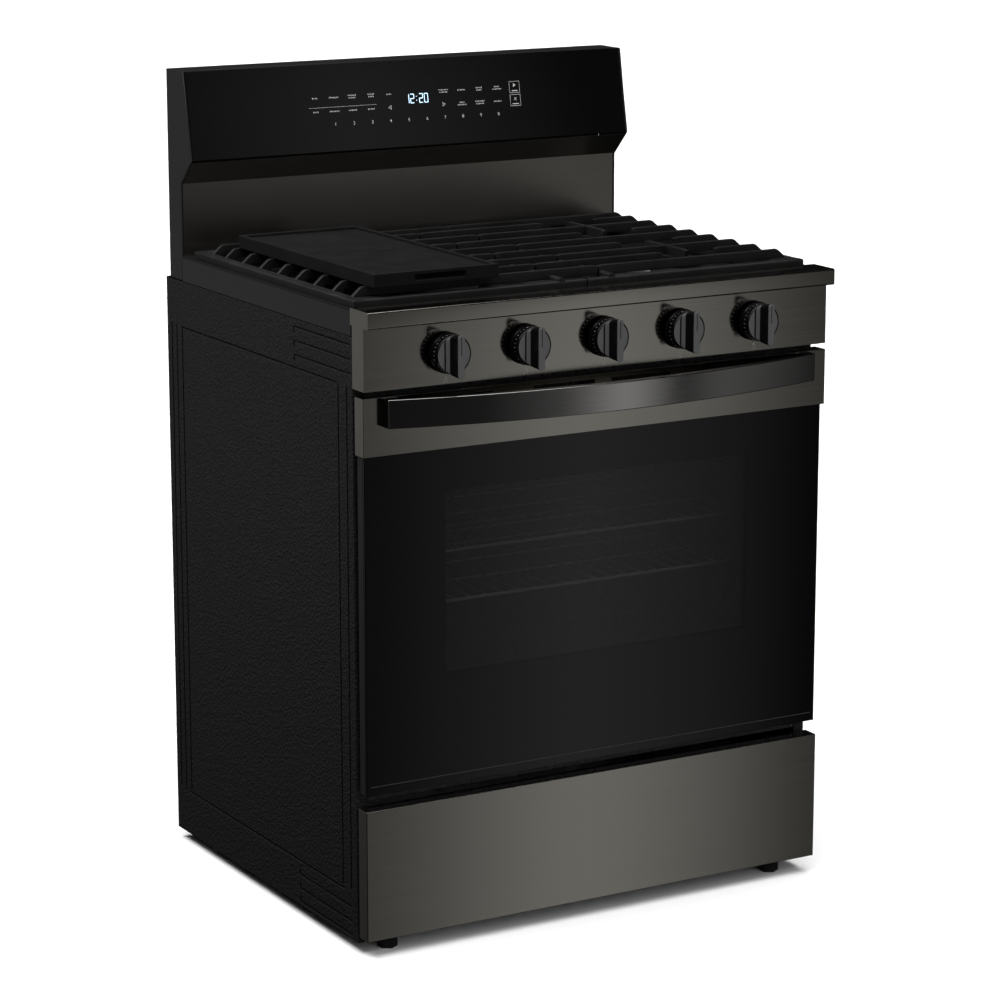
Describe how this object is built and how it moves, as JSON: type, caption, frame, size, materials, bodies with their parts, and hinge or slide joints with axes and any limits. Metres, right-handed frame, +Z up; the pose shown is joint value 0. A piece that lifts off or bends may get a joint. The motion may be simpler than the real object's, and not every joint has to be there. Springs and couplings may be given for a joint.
{
  "type": "freestanding gas range",
  "caption": "Freestanding gas range with cast grates and a griddle, push-and-turn knobs, an oven door with a bowed handle, a storage drawer and a slanted console.",
  "frame": {"origin": "bottom centre of the whole object's box, at floor level", "axes": "+Z up, -Y towards the person cooking, +X to that person's right"},
  "size_m": [0.759, 0.696, 1.188],
  "materials": {
    "textured_black": "leather-grained black paint",
    "galvanised": "plain galvanised sheet",
    "black_stainless": "brushed, dark tinted",
    "gloss_black": "gloss black enamel",
    "console_glass": "black glass",
    "door_glass": "black glass",
    "cast_iron": "matt enamelled",
    "burner_aluminium": "cast",
    "oven_enamel": "speckled dark enamel",
    "gasket_fibre": "woven fibre",
    "bright_steel": "bright",
    "brass": "plain",
    "lamp_glass": "frosted",
    "knob_black": "satin black",
    "foot_plastic": "plain"
  },
  "bodies": {
    "range": {"side_panel_left": "textured_black", "side_panel_right": "textured_black", "rear_panel": "galvanised", "base_frame": "galvanised", "front_trim": "black_stainless", "control_panel": "black_stainless", "cooktop": "gloss_black", "burner_head_front_left": "burner_aluminium", "burner_head_rear_left": "burner_aluminium", "burner_head_centre": "burner_aluminium", "burner_head_front_right": "burner_aluminium", "burner_head_rear_right": "burner_aluminium", "burner_cap_front_left": "cast_iron", "burner_cap_rear_left": "cast_iron", "burner_cap_centre": "cast_iron", "burner_cap_front_right": "cast_iron", "burner_cap_rear_right": "cast_iron", "backguard_end_left": "gloss_black", "backguard_end_right": "gloss_black", "console_glass": "console_glass", "backguard_shell": "gloss_black", "backguard_strip": "black_stainless", "oven_liner": "oven_enamel", "oven_front_frame": "oven_enamel", "oven_gasket": "gasket_fibre", "broil_burner": "bright_steel", "bake_burner": "bright_steel", "oven_lamp": "lamp_glass", "gas_manifold": "brass", "gas_pipe": "galvanised", "door_hinge_left": "bright_steel", "door_hinge_right": "bright_steel"},
    "oven_door": {"door_band": "black_stainless", "door_glass": "door_glass", "door_body": "gloss_black", "door_liner": "oven_enamel", "door_window": "door_glass", "door_handle": "black_stainless"},
    "storage_drawer": {"drawer_front": "black_stainless", "drawer_box": "galvanised"},
    "rack_lower": {"rack_lower": "bright_steel"},
    "rack_upper": {"rack_upper": "bright_steel"},
    "grate_left": {"grate_left": "cast_iron"},
    "grate_right": {"grate_right": "cast_iron"},
    "griddle": {"griddle": "cast_iron"},
    "foot_front_left": {"foot_front_left": "foot_plastic"},
    "foot_front_right": {"foot_front_right": "foot_plastic"},
    "foot_rear_left": {"foot_rear_left": "foot_plastic"},
    "foot_rear_right": {"foot_rear_right": "foot_plastic"},
    "valve_stem_1": {"valve_stem_1": "bright_steel"},
    "knob_1": {"knob_1": "knob_black"},
    "valve_stem_2": {"valve_stem_2": "bright_steel"},
    "knob_2": {"knob_2": "knob_black"},
    "valve_stem_3": {"valve_stem_3": "bright_steel"},
    "knob_3": {"knob_3": "knob_black"},
    "valve_stem_4": {"valve_stem_4": "bright_steel"},
    "knob_4": {"knob_4": "knob_black"},
    "valve_stem_5": {"valve_stem_5": "bright_steel"},
    "knob_5": {"knob_5": "knob_black"}
  },
  "joints": [
    {"name": "door_swing", "type": "hinge", "parent": "range", "child": "oven_door", "pos_m": [0, -0.262, 0.242], "axis": [1, 0, 0], "range_deg": [0, 90], "stiffness_Nm_per_rad": 15, "springref_deg": -22.92},
    {"name": "drawer_slide", "type": "slide", "parent": "range", "child": "storage_drawer", "axis": [0, -1, 0], "range_m": [0, 0.4]},
    {"name": "rack_lower_slide", "type": "slide", "parent": "range", "child": "rack_lower", "axis": [0, -1, 0], "range_m": [0, 0.055]},
    {"name": "rack_upper_slide", "type": "slide", "parent": "range", "child": "rack_upper", "axis": [0, -1, 0], "range_m": [0, 0.055]},
    {"name": "grate_left_lift", "type": "slide", "parent": "range", "child": "grate_left", "axis": [0, 0, 1], "range_m": [0, 0.08]},
    {"name": "grate_right_lift", "type": "slide", "parent": "range", "child": "grate_right", "axis": [0, 0, 1], "range_m": [0, 0.08]},
    {"name": "griddle_lift", "type": "slide", "parent": "grate_left", "child": "griddle", "axis": [0, 0, 1], "range_m": [0, 0.12]},
    {"name": "foot_front_left_turn", "type": "hinge", "parent": "range", "child": "foot_front_left", "pos_m": [-0.325, -0.241, 0], "axis": [0, 0, 1], "continuous": true},
    {"name": "foot_front_right_turn", "type": "hinge", "parent": "range", "child": "foot_front_right", "pos_m": [0.325, -0.241, 0], "axis": [0, 0, 1], "continuous": true},
    {"name": "foot_rear_left_turn", "type": "hinge", "parent": "range", "child": "foot_rear_left", "pos_m": [-0.325, 0.318, 0], "axis": [0, 0, 1], "continuous": true},
    {"name": "foot_rear_right_turn", "type": "hinge", "parent": "range", "child": "foot_rear_right", "pos_m": [0.325, 0.318, 0], "axis": [0, 0, 1], "continuous": true},
    {"name": "knob_1_push", "type": "slide", "parent": "range", "child": "valve_stem_1", "axis": [0, 1, 0], "range_m": [0, 0.004], "stiffness_N_per_m": 600},
    {"name": "knob_1_turn", "type": "hinge", "parent": "valve_stem_1", "child": "knob_1", "pos_m": [-0.252, -0.2895, 0.851], "axis": [0, -1, 0], "range_deg": [0, 270]},
    {"name": "knob_2_push", "type": "slide", "parent": "range", "child": "valve_stem_2", "axis": [0, 1, 0], "range_m": [0, 0.004], "stiffness_N_per_m": 600},
    {"name": "knob_2_turn", "type": "hinge", "parent": "valve_stem_2", "child": "knob_2", "pos_m": [-0.126, -0.2895, 0.851], "axis": [0, -1, 0], "range_deg": [0, 270]},
    {"name": "knob_3_push", "type": "slide", "parent": "range", "child": "valve_stem_3", "axis": [0, 1, 0], "range_m": [0, 0.004], "stiffness_N_per_m": 600},
    {"name": "knob_3_turn", "type": "hinge", "parent": "valve_stem_3", "child": "knob_3", "pos_m": [0, -0.2895, 0.851], "axis": [0, -1, 0], "range_deg": [0, 270]},
    {"name": "knob_4_push", "type": "slide", "parent": "range", "child": "valve_stem_4", "axis": [0, 1, 0], "range_m": [0, 0.004], "stiffness_N_per_m": 600},
    {"name": "knob_4_turn", "type": "hinge", "parent": "valve_stem_4", "child": "knob_4", "pos_m": [0.126, -0.2895, 0.851], "axis": [0, -1, 0], "range_deg": [0, 270]},
    {"name": "knob_5_push", "type": "slide", "parent": "range", "child": "valve_stem_5", "axis": [0, 1, 0], "range_m": [0, 0.004], "stiffness_N_per_m": 600},
    {"name": "knob_5_turn", "type": "hinge", "parent": "valve_stem_5", "child": "knob_5", "pos_m": [0.252, -0.2895, 0.851], "axis": [0, -1, 0], "range_deg": [0, 270]}
  ]
}
